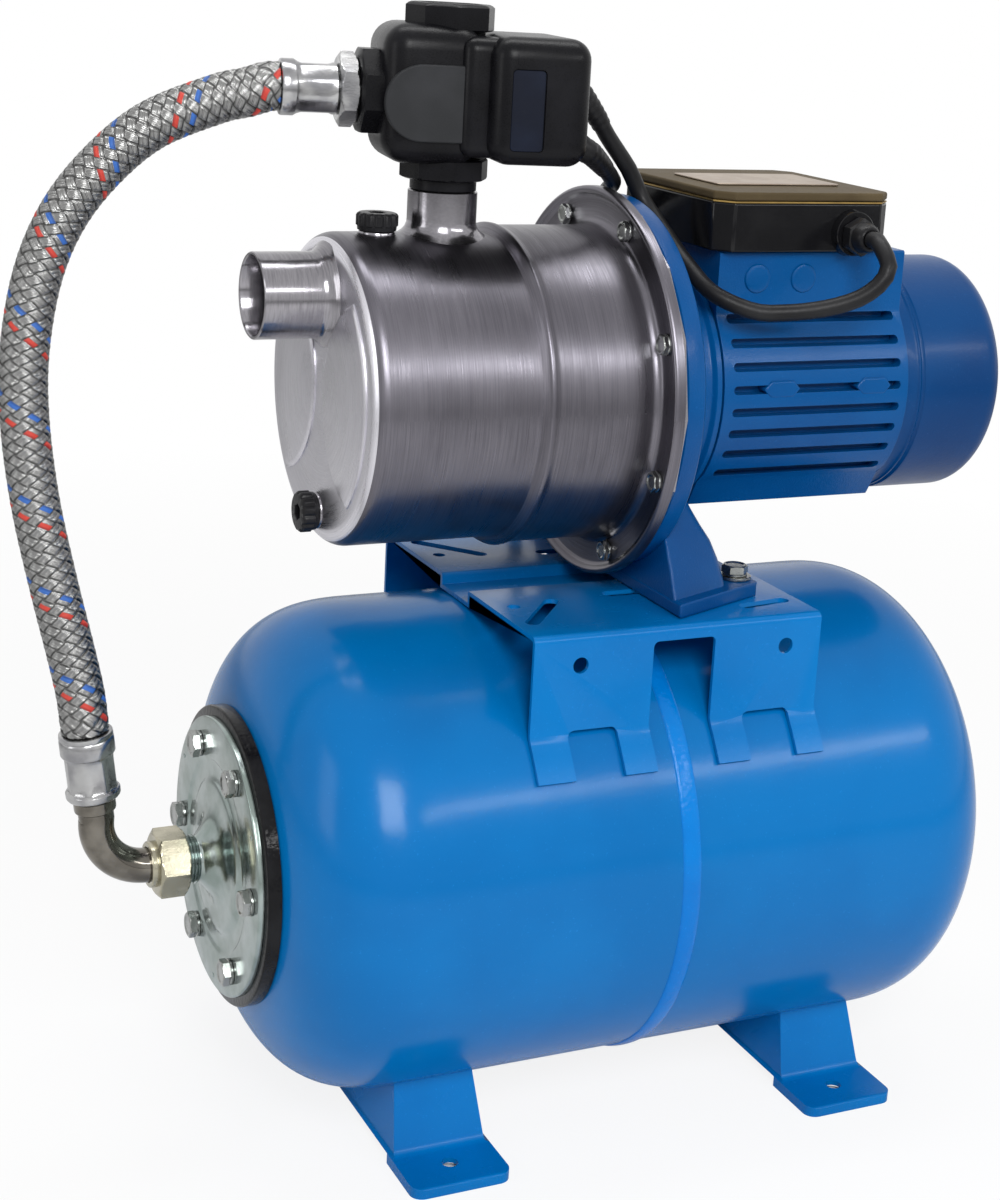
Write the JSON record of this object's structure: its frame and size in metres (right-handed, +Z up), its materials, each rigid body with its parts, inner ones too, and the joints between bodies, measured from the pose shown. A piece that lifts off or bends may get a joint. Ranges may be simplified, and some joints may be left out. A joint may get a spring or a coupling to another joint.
{
  "type": "booster pump set",
  "caption": "Jet pump with motor on a bracket over a horizontal pressure tank, with pressure switch, braided hose and leads.",
  "frame": {"origin": "on the floor, under the middle of the rigid set (without hose and leads)", "axes": "+X along the tank towards the motor's fan cover, +Y to the back, +Z up"},
  "size_m": [0.5698, 0.4599, 0.6093],
  "materials": {
    "tank_blue": "glossy bright blue powder paint",
    "motor_blue": "die cast, semi-gloss dark blue paint",
    "fan_blue": "pressed sheet, semi-gloss dark blue paint",
    "stainless": "satin deep-drawn stainless sheet",
    "zinc_plate": "bright zinc plate",
    "chrome": "polished nickel plate",
    "black_plastic": "satin black moulding",
    "black_rubber": "matt",
    "brass": "machined",
    "lamination": "stacked electric steel",
    "braid": "woven wire braid over a rubber hose, with red and blue marker threads",
    "pump_plastic": "glass-filled moulding",
    "ceramic": "ceramic and carbon seal faces",
    "plate": "bare tan plate without print"
  },
  "bodies": {
    "set": {"tank_shell": "tank_blue", "foot_left": "tank_blue", "foot_right": "tank_blue", "pump_bracket": "tank_blue", "motor_lantern": "motor_blue", "motor_frame": "motor_blue", "rear_shield": "motor_blue", "fan_cover": "fan_blue", "pump_casing": "stainless", "seal_plate": "stainless", "front_bearing": "stainless", "rear_bearing": "stainless", "top_ferrule": "stainless", "lower_ferrule": "stainless", "flange_cover": "zinc_plate", "cover_bolt_1": "zinc_plate", "cover_bolt_2": "zinc_plate", "cover_bolt_3": "zinc_plate", "cover_bolt_4": "zinc_plate", "cover_bolt_5": "zinc_plate", "cover_bolt_6": "zinc_plate", "foot_bolt_front": "zinc_plate", "foot_bolt_back": "zinc_plate", "foot_washer_front": "zinc_plate", "foot_washer_back": "zinc_plate", "capacitor": "zinc_plate", "elbow": "chrome", "tank_collar": "black_plastic", "terminal_box": "black_plastic", "terminal_lid": "black_plastic", "cable_gland": "black_plastic", "switch_body": "black_plastic", "switch_cover": "black_plastic", "mains_plug": "black_plastic", "bladder": "black_rubber", "casing_gasket": "black_rubber", "motor_lead": "black_rubber", "mains_lead": "black_rubber", "mains_coil": "black_rubber", "air_valve": "brass", "nozzle": "brass", "terminal_block": "brass", "stator": "lamination", "hose": "braid", "diffuser": "pump_plastic", "ejector_body": "pump_plastic", "seal_seat": "ceramic", "rating_plate": "plate"},
    "rotor_set": {"shaft": "stainless", "rotor": "lamination", "impeller": "brass", "cooling_fan": "pump_plastic", "seal_head": "ceramic"},
    "union_nut": {"union_nut": "zinc_plate"},
    "hose_nut": {"hose_nut": "zinc_plate"},
    "filler_plug": {"filler_plug": "black_plastic"},
    "drain_plug": {"drain_plug": "black_plastic"},
    "valve_cap": {"valve_cap": "black_plastic"},
    "switch_plunger": {"switch_plunger": "stainless"}
  },
  "joints": [
    {"name": "shaft_spin", "type": "hinge", "parent": "set", "child": "rotor_set", "pos_m": [0, 0, 0.41], "axis": [1, 0, 0], "continuous": true},
    {"name": "union_nut_turn", "type": "hinge", "parent": "set", "child": "union_nut", "pos_m": [-0.21535, 0, 0.155], "axis": [1, 0, 0], "continuous": true},
    {"name": "hose_nut_turn", "type": "hinge", "parent": "set", "child": "hose_nut", "pos_m": [-0.12522, 0.00959, 0.5638], "axis": [-0.9833, 0.1822, 0], "continuous": true},
    {"name": "filler_plug_lift", "type": "slide", "parent": "set", "child": "filler_plug", "axis": [0, 0, 1], "range_m": [0, 0.014]},
    {"name": "drain_plug_pull", "type": "slide", "parent": "set", "child": "drain_plug", "axis": [-1, 0, 0], "range_m": [0, 0.014]},
    {"name": "valve_cap_pull", "type": "slide", "parent": "set", "child": "valve_cap", "axis": [1, 0, 0], "range_m": [0, 0.02]},
    {"name": "switch_plunger_stroke", "type": "slide", "parent": "set", "child": "switch_plunger", "axis": [0.9833, -0.1822, 0], "range_m": [0, 0.002], "stiffness_N_per_m": 1500}
  ]
}
